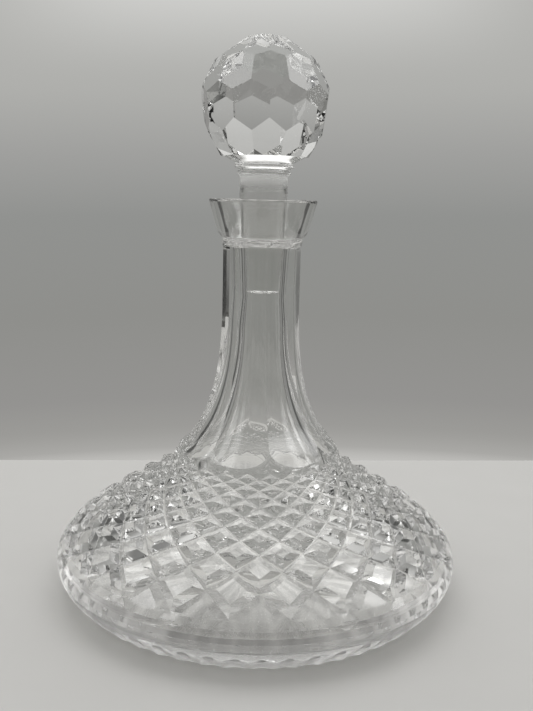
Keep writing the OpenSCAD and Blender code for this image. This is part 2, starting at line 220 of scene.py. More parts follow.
def foot_cut_r(turn, z):
    """Radius of the hollow foot cuts: near side of a leaning cylinder, whose level section is an ellipse."""
    pitch = 2 * pi / FOOT_CUTS
    off = (turn + pitch / 2) % pitch - pitch / 2
    low_r = FOOT_R - FOOT_CUT_D
    lean = atan2(np.interp(FOOT_CUT_H, FOOT[:, 1], FOOT[:, 0]) - low_r, FOOT_CUT_H)
    a, b = WHEEL_R / cos(lean), WHEEL_R
    c = low_r + z * tan(lean) + a
    p = np.cos(off) ** 2 / a**2 + np.sin(off) ** 2 / b**2
    q = c * np.cos(off) / a**2
    return (q - np.sqrt(np.maximum(0, q**2 - p * (c**2 / a**2 - 1)))) / p


def scalloped_r(turn, z):
    """Radius of the foot: the lesser of the turned foot and its cuts, rounded over where they meet."""
    turned = np.interp(z, FOOT[:, 1], FOOT[:, 0])
    gap = turned - foot_cut_r(turn, z)
    return turned - (gap + np.hypot(gap, FOOT_SOFT)) / 2


def rings(profile):
    """Radius and height of a turned face: each point of the profile all round the axis."""
    ones = np.ones(COLUMNS)
    return [(p[0] * ones, p[1] * ones) for p in profile]


def hollow_profile():
    """Inside of the vessel as radius and height, from the rim of the lip down to the floor.

    Cubic curves join its named points. What is added to a point in them gives the control point next to it.
    """
    seat_top, seat_end = RING_Z - SEAT_DROP, PLUG_END_Z - SEAT_PAST
    rim_inside = np.array([MOUTH_R, LIP_Z - RIM_ROUND])
    throat = np.array([THROAT_R, RING_Z])
    seat = np.array([plug_r_at(seat_top) + SEAT_GAP, seat_top])
    bore = np.array([BORE_R, seat_end - BORE_DROP])
    inner_turn = TURN - WALL * np.array([sin(TURN_SLOPE), cos(TURN_SLOPE)])
    inner_rim = np.array([BODY_R - RIM_WALL, RIM_Z])
    corner = np.array([inner_rim[0] - CORNER_IN, FLOOR_T])
    mouth = curve([rim_inside, rim_inside - [2.6, 9], throat + [1.2, 1.5], throat], 6)
    shelf = curve([throat, throat - [2.4, 3], seat + [0, 3], seat], 6)
    flare = curve([bore, bore - [0, 30], inner_turn + 28 * SLOPE_WAY, inner_turn], 12)
    shoulder = curve([inner_turn, inner_turn - 12 * SLOPE_WAY, inner_rim + [0, 12], inner_rim], 12)
    sole = curve([inner_rim, inner_rim - [0, 4.5], corner + [8, 0], corner], 6)
    end = [[plug_r_at(seat_end) + SEAT_GAP, seat_end]]
    return np.vstack([mouth, shelf[1:], end, flare, shoulder[1:], sole[1:], [[corner[0] / 2, FLOOR_T]]])


def lip_profile():
    """Outside of the flared lip and its rounded rim, as radius and height."""
    ring, edge = np.array([RING_R, RING_Z]), np.array([LIP_R, LIP_Z - RIM_ROUND])
    side = curve([ring, ring + [2.6, 0.6], edge - [2.55, 8.2], edge], 10)
    a = np.linspace(0, pi / 2, 4)[1:, None]
    outer = np.hstack([LIP_R - RIM_ROUND * (1 - np.cos(a)), LIP_Z - RIM_ROUND * (1 - np.sin(a))])
    inner = np.hstack([MOUTH_R + RIM_ROUND * (1 - np.cos(a)), LIP_Z - RIM_ROUND * (1 - np.sin(a))])
    return side, np.vstack([outer, inner[::-1]])


def vessel_rows():
    """The vessel as rows of radius and height over the columns, from the underside up and into the hollow.

    Also gives the rows that are creases, the row where the foot ends, and the bands of rows with the diamonds
    and with the panels of the neck.
    """
    rows, creases = [], []

    # Foot: the hollow cuts fade softly into the turned foot
    rows.append((np.full(COLUMNS, FOOT_R * 0.5), np.zeros(COLUMNS)))
    creases.append(len(rows))
    close_z = FOOT_CLOSE * FOOT_CUT_H
    for z in np.concatenate([np.linspace(0, close_z, 13), np.linspace(close_z, RIM_Z, 7)[1:]]):
        rows.append((scalloped_r(TURN_OF, z), np.full(COLUMNS, z)))
    foot_end = len(rows)

    # Plain rim above the widest part
    rim_top = blank_z(row_r(LAST_STEP / STEPS))
    rows += rings([[blank_r(z), z] for z in np.linspace(RIM_Z, rim_top, 5)[1:-1]])

    # Diamond cutting
    diamond_band = [len(rows), 0]
    v = TURN_OF * GROOVES / (2 * pi)
    for u in np.arange(LAST_STEP, -1, -1) / STEPS:
        depth = GROOVE_D * run_out(u, TURN_OF) * groove_share(u + 0 * v, v)
        rows.append(under_blank(row_r(u), depth))
    diamond_band[1] = len(rows) - 1

    # Neck: the panels end on the curves where they leave the round glass
    panel = panel_profile()
    z_table = np.linspace(panel[0, 1], RING_Z, PANEL_SAMPLES)
    half = pi / PANELS
    off = np.cos(TURN_OF % (2 * half) - half)
    flat_table = np.interp(z_table, panel[:, 1], panel[:, 0])[:, None] / off
    low, top = first_and_last(z_table, blank_r(z_table)[:, None] - flat_table)
    low_r = blank_r(low)
    start = GROOVE_D * run_out(0.0, TURN_OF) * groove_share(0 * v, v)
    for q in (0.4, 0.75, 1.0):
        rows.append(under_blank(CUT_IN + q * (low_r - CUT_IN), start * (1 - q) ** 2))
    creases.append(len(rows) - 1)
    neck_band = [len(rows) - 1, 0]
    # Shares of the panels' height: close rows where they curve, few along the straight neck
    heights = np.concatenate([np.linspace(0, 0.62, 19), [0.78], np.linspace(0.92, 1, 9)])
    for q in heights[1:]:
        z = low + q * (top - low)
        rows.append((np.interp(z, panel[:, 1], panel[:, 0]) / off, z))
    creases.append(len(rows) - 1)
    neck_band[1] = len(rows) - 1
    rows.append((blank_r((top + RING_Z) / 2), (top + RING_Z) / 2))

    # Lip, rim and hollow
    side, rim = lip_profile()
    creases.append(len(rows))
    rows += rings(side) + rings(rim) + rings(hollow_profile())
    return rows, creases, foot_end, diamond_band, neck_band


def round_solid(rows):
    """Points of a solid whose rows run round the axis, with a pole at each end, and the shape of its grid."""
    r = np.array([row[0] for row in rows])
    z = np.array([row[1] for row in rows])
    turn = np.arange(r.shape[1]) * 2 * pi / r.shape[1]
    grid = np.stack([r * np.sin(turn), -r * np.cos(turn), z], -1).reshape(-1, 3)
    points = np.vstack([grid, [[0, 0, z[0].mean()], [0, 0, z[-1].mean()]]])
    return points, r.shape


def grid_faces(shape, flip, band):
    """Faces between neighbouring rows and columns, and the fans that close both ends.

    They are quads, and in the band of rows triangles on the diagonal that flip picks.
    """
    n_rows, n = shape
    i, j = np.meshgrid(np.arange(n_rows - 1), np.arange(n), indexing="ij")
    k = (j + 1) % n
    a, b, c, d = i * n + j, i * n + k, (i + 1) * n + k, (i + 1) * n + j
    split = (i >= band[0]) & (i < band[1])
    quads = np.stack([a, b, c, d], -1)[~split]
    up = split & flip
    down = split & ~flip
    tris = np.concatenate([
        np.stack([a, b, c], -1)[up], np.stack([a, c, d], -1)[up],
        np.stack([a, b, d], -1)[down], np.stack([b, c, d], -1)[down],
    ])
    cols = np.arange(n)
    nxt = (cols + 1) % n
    low, high = n_rows * n, n_rows * n + 1
    last = (n_rows - 1) * n
    caps = np.concatenate([
        np.stack([nxt, cols, low + 0 * cols], -1), np.stack([last + cols, last + nxt, high + 0 * cols], -1)
    ])
    return quads.tolist() + tris.tolist() + caps.tolist()


def new_piece(name, points, faces, material, sharp_angle):
    """Mesh object with its place in its points: smooth, creased where faces turn by more than the angle."""
    mesh = bpy.data.meshes.new(name)
    mesh.from_pydata((points * MM).tolist(), [], faces)
    mesh.validate()
    mesh.shade_smooth()
    mesh.set_sharp_from_angle(angle=radians(sharp_angle))
    mesh.materials.append(material)
    piece = bpy.data.objects.new(name, mesh)
    bpy.context.scene.collection.objects.link(piece)
    return piece


def mark_creases(mesh, picks, soft_below):
    """Edges whose two points both lie in one of the picked sets of points are sharp as well.

    The points numbered below soft_below have no other creases.
    """
    edges = np.zeros(len(mesh.edges) * 2, np.int64)
    mesh.edges.foreach_get("vertices", edges)
    edges = edges.reshape(-1, 2)
    attribute = mesh.attributes.get("sharp_edge") or mesh.attributes.new("sharp_edge", "BOOLEAN", "EDGE")
    sharp = np.zeros(len(edges), bool)
    attribute.data.foreach_get("value", sharp)
    sharp &= edges.max(1) >= soft_below
    for group in picks:
        mark = np.full(len(mesh.vertices), -1)
        for n, members in enumerate(group):
            mark[members] = n
        sharp |= (mark[edges[:, 0]] >= 0) & (mark[edges[:, 0]] == mark[edges[:, 1]])
    attribute.data.foreach_set("value", sharp)


def make_vessel(material):
    """One closed skin: rows of radius and height from vessel_rows, swept round the axis."""
    rows, creases, foot_end, diamond_band, neck_band = vessel_rows()
    points, shape = round_solid(rows)

    # In each cell of the cutting, the diagonal runs along the flank of the diamond with the nearest centre
    u = (LAST_STEP - (np.arange(shape[0] - 1) - diamond_band[0]) - 0.5)[:, None] / STEPS
    v = (np.arange(COLUMNS) + 0.5)[None] * GROOVES / COLUMNS
    low = np.floor(u)
    to_low = (v - (low % 2) / 2) % 1 - 0.5
    to_high = (v - ((low + 1) % 2) / 2) % 1 - 0.5
    in_low = u - low + 2 * np.abs(to_low) <= low + 1 - u + 2 * np.abs(to_high)
    flip = np.where(in_low, to_low > 0, to_high < 0)
    faces = grid_faces(shape, flip, diamond_band)
    piece = new_piece("decanter_vessel", points, faces, material, VESSEL_SHARP)

    every = np.arange(COLUMNS)
    level = [[row * COLUMNS + every for row in creases]]
    ridge = COLUMNS // PANELS
    ridges = [np.arange(neck_band[0], neck_band[1])[:, None] * COLUMNS + k * ridge for k in range(PANELS)]
    mark_creases(piece.data, level + [[c.ravel() for c in ridges]], foot_end * COLUMNS)
    return piece


def ball_rings():
    """Corners of the faceted ball, ring by ring.

    Each corner is the point shared by three facet planes, found from their normals and distances. T, U, M
    and L are the rows of facets from the top down, with the flat on top and the level cut below.
    """
    step = 2 * pi / FACETS

    def plane(row, at):
        if row == "top":
            return np.array([0, 0, 1.0]), BALL_TOP_Z - BALL_Z
        if row == "low":
            return np.array([0, 0, -1.0]), BALL_Z - BALL_LOW_Z
        rise, share = FACET_ROWS[row]
        turn, e = at * step, radians(rise)
        return np.array([cos(e) * sin(turn), -cos(e) * cos(turn), sin(e)]), share * BALL_R

    def corner(*three):
        normals, distances = zip(*(plane(*p) for p in three))
        return np.linalg.solve(np.array(normals), np.array(distances))

    # Rings A to H. The numbers give the turn of each plane, counted in facets
    first = [
        corner(("top", 0), ("T", -0.5), ("T", 0.5)),
        corner(("T", -0.5), ("T", 0.5), ("U", 0)),
        corner(("T", 0.5), ("U", 0), ("U", 1)),
        corner(("U", 0), ("U", 1), ("M", 0.5)),
        corner(("U", 0), ("M", -0.5), ("M", 0.5)),
        corner(("M", -0.5), ("M", 0.5), ("L", 0)),
        corner(("M", 0.5), ("L", 0), ("L", 1)),
        corner(("L", 0), ("L", 1), ("low", 0)),
    ]
    k = np.arange(FACETS) * step + STOPPER_TURN
    p = np.array(first)[:, None]
    x = p[..., 0] * np.cos(k) - p[..., 1] * np.sin(k)
    y = p[..., 0] * np.sin(k) + p[..., 1] * np.cos(k)
    return np.stack([x, y, p[..., 2] + BALL_Z + 0 * k], -1)


def stem_profile():
    """Turned part of the stopper from the ball down: cone under the ball, hollow collar, stem, ground plug.

    The side of the collar is a cubic curve with two sine waves for its shallow rings.
    """
    top, low = np.array([COLLAR_TOP_R, COLLAR_TOP_Z]), np.array([COLLAR_LOW_R, STEM_TOP_Z])
    cone = np.linspace([UNDER_R, BALL_LOW_Z], top, 4)
    reach = np.array([0, COLLAR_REACH])
    flank = curve([top, top - [COLLAR_REACH / 2, COLLAR_REACH], low + reach, low], COLLAR_STEPS)
    flank[:, 0] -= COLLAR_RING_D * np.sin(np.linspace(0, COLLAR_RINGS * 2 * pi, COLLAR_STEPS + 1))
    # The stem swells a little into the collar and the plug
    stem = [
        [STEM_R + 0.25, STEM_TOP_Z - 0.35], [STEM_R, STEM_TOP_Z - 1.3], [STEM_R, PLUG_TOP_Z + 1.3],
        [STEM_R + 0.1, PLUG_TOP_Z + 0.3], [PLUG_TOP_R, PLUG_TOP_Z], [plug_r_at(PLUG_MID_Z), PLUG_MID_Z],
    ]
    # The edge of the plug's end is rounded and runs out in a low cone
    a = np.linspace(0, atan2(PLUG_BEVEL, PLUG_BEVEL_H), 5)
    edge_z = PLUG_END_Z + PLUG_BEVEL_H + PLUG_ROUND * np.sin(a[-1])
    edge = np.stack([plug_r_at(edge_z) - PLUG_ROUND * (1 - np.cos(a)), edge_z - PLUG_ROUND * np.sin(a)], -1)
    level_r = edge[-1, 0] - PLUG_BEVEL
    return np.vstack([cone, flank[1:], stem, edge, [[level_r, PLUG_END_Z], [level_r / 2, PLUG_END_Z]]])


def make_stopper(material):
    """Ball of flat facets between its rings of corners, joined on its level underside to the turned stem."""
    ring = ball_rings()
    n = FACETS
    at = {name: i * n + np.arange(n) for i, name in enumerate("ABCDEFGH")}

    def later(name):
        return np.roll(at[name], -1)

    def before(name):
        return np.roll(at[name], 1)

    facets = [
        np.stack([at["A"], at["B"], at["C"], later("B"), later("A")], -1),
        np.stack([before("C"), before("D"), at["E"], at["D"], at["C"], at["B"]], -1),
        np.stack([at["E"], at["F"], at["G"], later("F"), later("E"), at["D"]], -1),
        np.stack([before("G"), before("H"), at["H"], at["G"], at["F"]], -1),
    ]
    per = FACET_COLUMNS
    count = per * n
    stem = stem_profile()
    turn = np.arange(count) * 2 * pi / count + STOPPER_TURN
    turned = np.stack([
        stem[:, :1] * np.sin(turn), -stem[:, :1] * np.cos(turn), stem[:, 1:] + 0 * turn
    ], -1).reshape(-1, 3)
    base = ring.size // 3
    points = np.vstack([ring.reshape(-1, 3), turned, [[0, 0, PLUG_END_Z]]])

    # Level underside of the ball: fans from its corners to the circle of the cone
    k = np.arange(n)
    mid = base + (per * k) % count
    i = np.arange(per // 2)
    right_a = base + (per * k[:, None] + i) % count
    right_b = base + (per * k[:, None] + i + 1) % count
    left_a = base + (per * k[:, None] - i - 1) % count
    left_b = base + (per * k[:, None] - i) % count
    h, h0 = at["H"], before("H")
    under = np.concatenate([
        np.stack([h0, mid, h], -1),
        np.stack([right_a, right_b, h[:, None] + 0 * right_a], -1).reshape(-1, 3),
        np.stack([left_a, left_b, h0[:, None] + 0 * left_a], -1).reshape(-1, 3),
    ])

    # Turned sides, and the level end of the plug
    rows = len(stem)
    r, j = np.meshgrid(np.arange(rows - 1), np.arange(count), indexing="ij")
    q = (j + 1) % count
    sides = np.stack([r * count + j, (r + 1) * count + j, (r + 1) * count + q, r * count + q], -1)
    sides = sides.reshape(-1, 4) + base
    last, tip = base + (rows - 1) * count, len(points) - 1
    every = np.arange(count)
    end = np.stack([last + every, np.full(count, tip), last + (every + 1) % count], -1)
    faces = [at["A"].tolist()] + [f for part in facets for f in part.tolist()]
    faces += under.tolist() + sides.tolist() + end.tolist()
    return new_piece("decanter_stopper", points, faces, material, STOPPER_SHARP)


def linear(hex_colour):
    """sRGB hex to the linear values that a shader takes."""
    c = np.array([int(hex_colour[i : i + 2], 16) for i in (1, 3, 5)]) / 255
    return (*np.where(c <= 0.04045, c / 12.92, ((c + 0.055) / 1.055) ** 2.4).tolist(), 1.0)


def add(tree, kind, settings=None, **inputs):
    """Adds a node with its settings. An input is a plain value or an output socket to link from."""
    node = tree.nodes.new(kind)
    for key, value in (settings or {}).items():
        setattr(node, key, value)
    for key, value in inputs.items():
        socket = node.inputs[int(key[1:])] if key[0] == "_" else node.inputs[key.replace("_", " ")]
        if isinstance(value, bpy.types.NodeSocket):
            tree.links.new(value, socket)
        else:
            socket.default_value = value
    return node


def new_material(name):
    """Empty node material and its output."""
    material = bpy.data.materials.new(name)
    material.use_nodes = True
    material.node_tree.nodes.clear()
    return material, material.node_tree, material.node_tree.nodes.new("ShaderNodeOutputMaterial")


def shade_over(tree, value, stops, low, high):
    """Shade that follows a value between low and high. The stops are places on the way with their colours."""
    share = add(tree, "ShaderNodeMapRange", Value=value, From_Min=low, From_Max=high)
    ramp = add(tree, "ShaderNodeValToRGB", Fac=share.outputs[0])
    ends = ramp.color_ramp.elements
    while len(ends) < len(stops):
        ends.new(0.5)
    for end, (place, colour) in zip(ends, stops):
        end.position, end.color = (place - low) / (high - low), colour
    return ramp.outputs[0]


def mottled(tree, place, width, dark, pale):
    """Soft mottling between two shades, in patches of a width in millimetres."""
    patches = add(tree, "ShaderNodeTexNoise", Vector=place, Scale=1 / (width * MM), Detail=2.0)
    return add(
        tree, "ShaderNodeMix", {"data_type": "RGBA"},
        _0=patches.outputs["Fac"], _6=linear(dark), _7=linear(pale),
    ).outputs[2]


# Lead crystal: how much it bends light, and its faint tint
CRYSTAL_IOR, CRYSTAL_TINT = 1.545, "#FBFBFA"
# Length and depth of the cords of the melt in millimetres, and how strongly they show in each piece
CORD_LENGTH, CORD_DEPTH = 6.0, 0.05
VESSEL_WAVER, STOPPER_WAVER = 0.05, 0.006
# Grain of the grinding in millimetres, drawn coarser than real grit so that it shows, and how uneven it is
GRAIN_WIDTH, GRAIN_UNEVEN = 0.8, 0.3
# Share of white in fully ground glass
GROUND_WHITE = 0.5
# Dullness by height in millimetres: the foot is worn where it stands, the plug and stem are ground
WORN_FOOT = [(0, 0.25), (0.1, 0.25), (0.3, 0.0), (100, 0.0)]
GROUND_PLUG = [
    (0, 0.0), (144.2, 0.0), (146, 0.08), (180, 0.08), (188, 0.12),
    (190.5, 0.4), (193.5, 1.0), (194.5, 1.0), (194.8, 0.0), (200, 0.0),
]


def lead_crystal(name, dull, waver):
    """Cut lead crystal: colourless, heavy, bright at every edge.

    Fine cords of the melt and the soft polish of the cutting bend what is seen through it a little, by the
    strength waver. Ground and worn stretches, listed in dull as height and dullness, are pale and blurred.
    """
    material, tree, out = new_material(name)
    place = add(tree, "ShaderNodeTexCoord").outputs["Object"]
    cords = add(tree, "ShaderNodeTexNoise", Vector=place, Scale=1 / (CORD_LENGTH * MM), Detail=2.0)
    bump = add(tree, "ShaderNodeBump", Strength=waver, Distance=CORD_DEPTH * MM, Height=cords.outputs["Fac"])
    height = add(tree, "ShaderNodeSeparateXYZ", Vector=place).outputs["Z"]
    stops = [(z * MM, (share, share, share, 1.0)) for z, share in dull]
    dullness = shade_over(tree, height, stops, 0.0, stops[-1][0])
    grain = add(tree, "ShaderNodeTexNoise", Vector=place, Scale=1 / (GRAIN_WIDTH * MM), Detail=2.0)
    uneven = add(
        tree, "ShaderNodeMapRange", Value=grain.outputs["Fac"],
        To_Min=1 - GRAIN_UNEVEN, To_Max=1 + GRAIN_UNEVEN,
    )
    rough = add(tree, "ShaderNodeMath", {"operation": "MULTIPLY"}, _0=dullness, _1=uneven.outputs[0])
    clear = add(tree, "ShaderNodeMath", {"operation": "MULTIPLY_ADD"}, _0=dullness, _1=-GROUND_WHITE, _2=1.0)
    crystal = add(
        tree, "ShaderNodeBsdfPrincipled", Base_Color=linear(CRYSTAL_TINT), Roughness=rough.outputs[0],
        IOR=CRYSTAL_IOR, Transmission_Weight=clear.outputs[0], Normal=bump.outputs[0],
    )
    tree.links.new(crystal.outputs[0], out.inputs[0])
    return material


# Camera: turn round the decanter, place, tilt, roll, and focal length in rows of the picture
VIEW_TURN = radians(9.3)
CAMERA_AT, CAMERA_TILT, CAMERA_ROLL = (3.09, -393.7, 186.6), radians(10.78), radians(1.36)
FOCAL_ROWS, PICTURE_ROWS, SENSOR = 850, 711, 36

# Pale board: its back edge behind the decanter, how far that edge runs askew, and its half width
FLOOR_BACK, FLOOR_SKEW, FLOOR_Z = 187.0, tan(radians(4.2)), -0.02
BOARD_HALF = 300.0
BOARD_DARK, BOARD_PALE, BOARD_MOTTLE = "#CFCECC", "#D3D2D0", 40
# Painted shade of the board under the decanter, which only the glass shows, by millimetres behind the axis:
# a painted shadow falls to the front, and painted light, for what the glass gathers, glows in the middle
PAINTED_SHADOW_AND_GLOW = [
    (-110, "#6E6D6B"), (-92, "#7C7B79"), (-72, "#9E9D9B"), (-55, "#B6B5B3"), (-38, "#CFCECC"),
    (-20, "#F6F5F3"), (-8, "#EEEDEB"), (20, "#CECDCB"), (60, "#C2C1BF"),
]
# The painted light and shadow are full within the first radius and gone past the second
PAINTED_GLOW_FULL_R, PAINTED_GLOW_END_R = 1.02 * BODY_R, 1.25 * BODY_R
# Painted streaks of light run out from the middle, about one every 5 degrees, with noise of this range
PAINTED_STREAK_SCALE, PAINTED_STREAK_GAIN, NOISE_LOW, NOISE_HIGH = 11.0, 0.32, 0.3, 0.7

# Dark table under the board
TABLE_HALF, TABLE_Z = 400.0, -3.0
TABLE_DARK, TABLE_PALE, TABLE_GRAIN = "#454442", "#555452", 60

# Shades of the backdrop by height in millimetres, as the glass shows it: painted light, a little paler near
# the foot and much paler towards the top
WALL_SHADES = [
    (0, "#A6A5A2"), (8, "#9F9E9B"), (30, "#969593"), (60, "#8F8F8C"), (150, "#8E8F8C"), (240, "#908F8D"),
    (258, "#9C9C9A"), (280, "#B0B0AE"), (310, "#C0C0BE"), (350, "#D8D8D6"), (420, "#F0F0EE"),
]
WALL_HALF, WALL_TOP = 380.0, 420.0
# Painted shade of dark openings on both sides of the backdrop: middle and half size across and up, soft edge,
# darkness
OPENING_X, OPENING_HALF_X, OPENING_Z, OPENING_HALF_Z = 262.0, 80.0, 135.0, 80.0
OPENING_SOFT, OPENING_DARK = 25.0, 0.76

# Shades of the backdrop as the camera sees it, by the rise of the line of sight in degrees: painted light,
# darkest a little above the floor line and paler higher up
BACKDROP_SHADES = [
    (-60, "#C2C1BE"), (-17.5, "#C2C1BE"), (-17.0, "#ABAAA7"), (-15.6, "#9C9B98"), (-13.5, "#949391"),
    (-8.0, "#8F8F8C"), (-1.5, "#919290"), (2.6, "#A0A09E"), (6.5, "#AFAFAC"), (12.0, "#B5B5B2"),
    (40.0, "#C8C8C6"),
]
BACKDROP_TILT = CAMERA_ROLL
# Shades of the room as the glass shows it, by rise in degrees, and the even grey that lights the board
ROOM_SHADES = [
    (-30, "#82827F"), (8, "#868684"), (20, "#9A9A98"), (35, "#B8B8B6"), (50, "#D4D4D2"), (75, "#E8E8E6"),
]
AMBIENT = "#CCCCCA"
# Soft round lights and darks: turn and rise of the middle, outer and inner angle in degrees, and strength
ROOM_LIGHTS = [
    ((-109, 42), 20, 9, 2.6), ((91, 38), 20, 9, 3.2), ((-8, 55), 26, 15, 0.7),
    ((-105, 5), 22, 10, 0.2), ((99, 0), 14, 6, 0.6),
]
ROOM_DARKS = [
    ((116, -8), 9, 4, 0.85), ((156, -14), 14, 7, 0.8), ((-160, -14), 14, 7, 0.8), ((-62, 45), 13, 6, 0.65),
]
# Pool of light on the backdrop behind the ball, and the rises between which it comes in
POOL = ((-1, 8), 19, 5, 0.2)
POOL_FROM, POOL_FULL = radians(6.5), radians(15)

# Soft box: place in millimetres, width and depth in metres
LAMP_AT, LAMP_WIDE, LAMP_DEEP, LAMP_RADIANCE = (0, 170, 900), 0.9, 0.7, 1.6


def in_view(x, y, z):
    """Point given to the right of, behind and above the decanter's foot as the camera sees it."""
    c, s = cos(VIEW_TURN), sin(VIEW_TURN)
    return Vector((x * c + y * s, -x * s + y * c, z)) * MM


def way_to(turn, rise):
    """Direction at a turn to the right of straight behind the decanter, and at a rise, both in degrees."""
    t, e = radians(turn), radians(rise)
    return (in_view(sin(t) * cos(e), cos(t) * cos(e), sin(e)) - in_view(0, 0, 0)).normalized()


def make_camera():
    """Camera at the photograph's place: tilted down a little and rolled by just over a degree."""
    data = bpy.data.cameras.new("camera")
    data.lens, data.sensor_width = FOCAL_ROWS * SENSOR / PICTURE_ROWS, SENSOR
    data.clip_start, data.clip_end = 0.01, 20
    camera = bpy.data.objects.new("camera", data)
    bpy.context.scene.collection.objects.link(camera)
    origin = in_view(0, 0, 0)
    right = (in_view(1, 0, 0) - origin).normalized()
    ahead = (in_view(0, cos(CAMERA_TILT), -sin(CAMERA_TILT)) - origin).normalized()
    up = right.cross(ahead)
    x = right * cos(CAMERA_ROLL) + up * sin(CAMERA_ROLL)
    y = -right * sin(CAMERA_ROLL) + up * cos(CAMERA_ROLL)
    place = Matrix((x, y, -ahead)).transposed().to_4x4()
    place.translation = in_view(*CAMERA_AT)
    camera.matrix_world = place
    bpy.context.scene.camera = camera


def flat_sheet(name, corners, material):
    """Flat sheet of the stage between four corners, given as the camera sees them."""
    mesh = bpy.data.meshes.new(name)
    mesh.from_pydata([tuple(in_view(*c)) for c in corners], [], [(0, 1, 2, 3)])
    mesh.materials.append(material)
    sheet = bpy.data.objects.new(name, mesh)
    bpy.context.scene.collection.objects.link(sheet)
    return sheet


def who_looks(tree):
    """Whether a ray comes from the camera, and whether it comes through or off the glass."""
    ray = add(tree, "ShaderNodeLightPath")
    through, off = ray.outputs["Is Transmission Ray"], ray.outputs["Is Glossy Ray"]
    glass = add(tree, "ShaderNodeMath", {"operation": "MAXIMUM"}, _0=through, _1=off)
    return ray.outputs["Is Camera Ray"], glass.outputs[0]


def make_floor():
    """Pale board: a flat sheet that ends in a straight line behind the decanter.

    Through the glass it shows a painted glow for the light the decanter gathers, and painted shadow in front.
    """
    material, tree, out = new_material("pale board")
    place = add(tree, "ShaderNodeTexCoord").outputs["Object"]
    tint = mottled(tree, place, BOARD_MOTTLE, BOARD_DARK, BOARD_PALE)
    board = add(tree, "ShaderNodeBsdfDiffuse", Color=tint)
    # Painted shadow and painted light by distance behind the axis, shown only to rays through or off the
    # glass
    behind = add(tree, "ShaderNodeVectorMath", {"operation": "DOT_PRODUCT"}, _0=place, _1=way_to(0, 0))
    stops = [(y * MM, linear(shade)) for y, shade in PAINTED_SHADOW_AND_GLOW]
    painted_shade_and_glow = shade_over(tree, behind.outputs["Value"], stops, stops[0][0], stops[-1][0])
    # Painted streaks of light that the glass gathers, running out round the axis
    turn = add(tree, "ShaderNodeVectorMath", {"operation": "NORMALIZE"}, _0=place)
    streaks = add(tree, "ShaderNodeTexNoise", Vector=turn.outputs[0], Scale=PAINTED_STREAK_SCALE, Detail=2.0)
    gain = add(
        tree, "ShaderNodeMapRange", Value=streaks.outputs["Fac"], From_Min=NOISE_LOW, From_Max=NOISE_HIGH,
        To_Min=1 - PAINTED_STREAK_GAIN, To_Max=1 + PAINTED_STREAK_GAIN,
    )
    glow = add(tree, "ShaderNodeEmission", Color=painted_shade_and_glow, Strength=gain.outputs[0])
    away = add(tree, "ShaderNodeVectorMath", {"operation": "LENGTH"}, _0=place)
    under = add(
        tree, "ShaderNodeMapRange", {"interpolation_type": "SMOOTHSTEP"}, Value=away.outputs["Value"],
        From_Min=PAINTED_GLOW_END_R * MM, From_Max=PAINTED_GLOW_FULL_R * MM,
    )
    _, glass = who_looks(tree)
    share = add(tree, "ShaderNodeMath", {"operation": "MULTIPLY"}, _0=glass, _1=under.outputs[0])
    mix = add(tree, "ShaderNodeMixShader", Fac=share.outputs[0], _1=board.outputs[0], _2=glow.outputs[0])
    tree.links.new(mix.outputs[0], out.inputs[0])
    half, skew = BOARD_HALF, BOARD_HALF * FLOOR_SKEW
    corners = ((-half, -half), (half, -half), (half, FLOOR_BACK + skew), (-half, FLOOR_BACK - skew))
    floor = flat_sheet("floor", [(x, y, FLOOR_Z) for x, y in corners], material)


def make_table():
    """Dark table under the board, as the glass shows it beyond the board's edges: a flat sheet."""
    material, tree, out = new_material("dark table")
    place = add(tree, "ShaderNodeTexCoord").outputs["Object"]
    tint = mottled(tree, place, TABLE_GRAIN, TABLE_DARK, TABLE_PALE)
    top = add(tree, "ShaderNodeEmission", Color=tint)
    tree.links.new(top.outputs[0], out.inputs[0])
    half = TABLE_HALF
    corners = ((-half, -half), (half, -half), (half, FLOOR_BACK), (-half, FLOOR_BACK))
    table = flat_sheet("table", [(x, y, TABLE_Z) for x, y in corners], material)
    table.visible_camera = table.visible_diffuse = table.visible_shadow = False


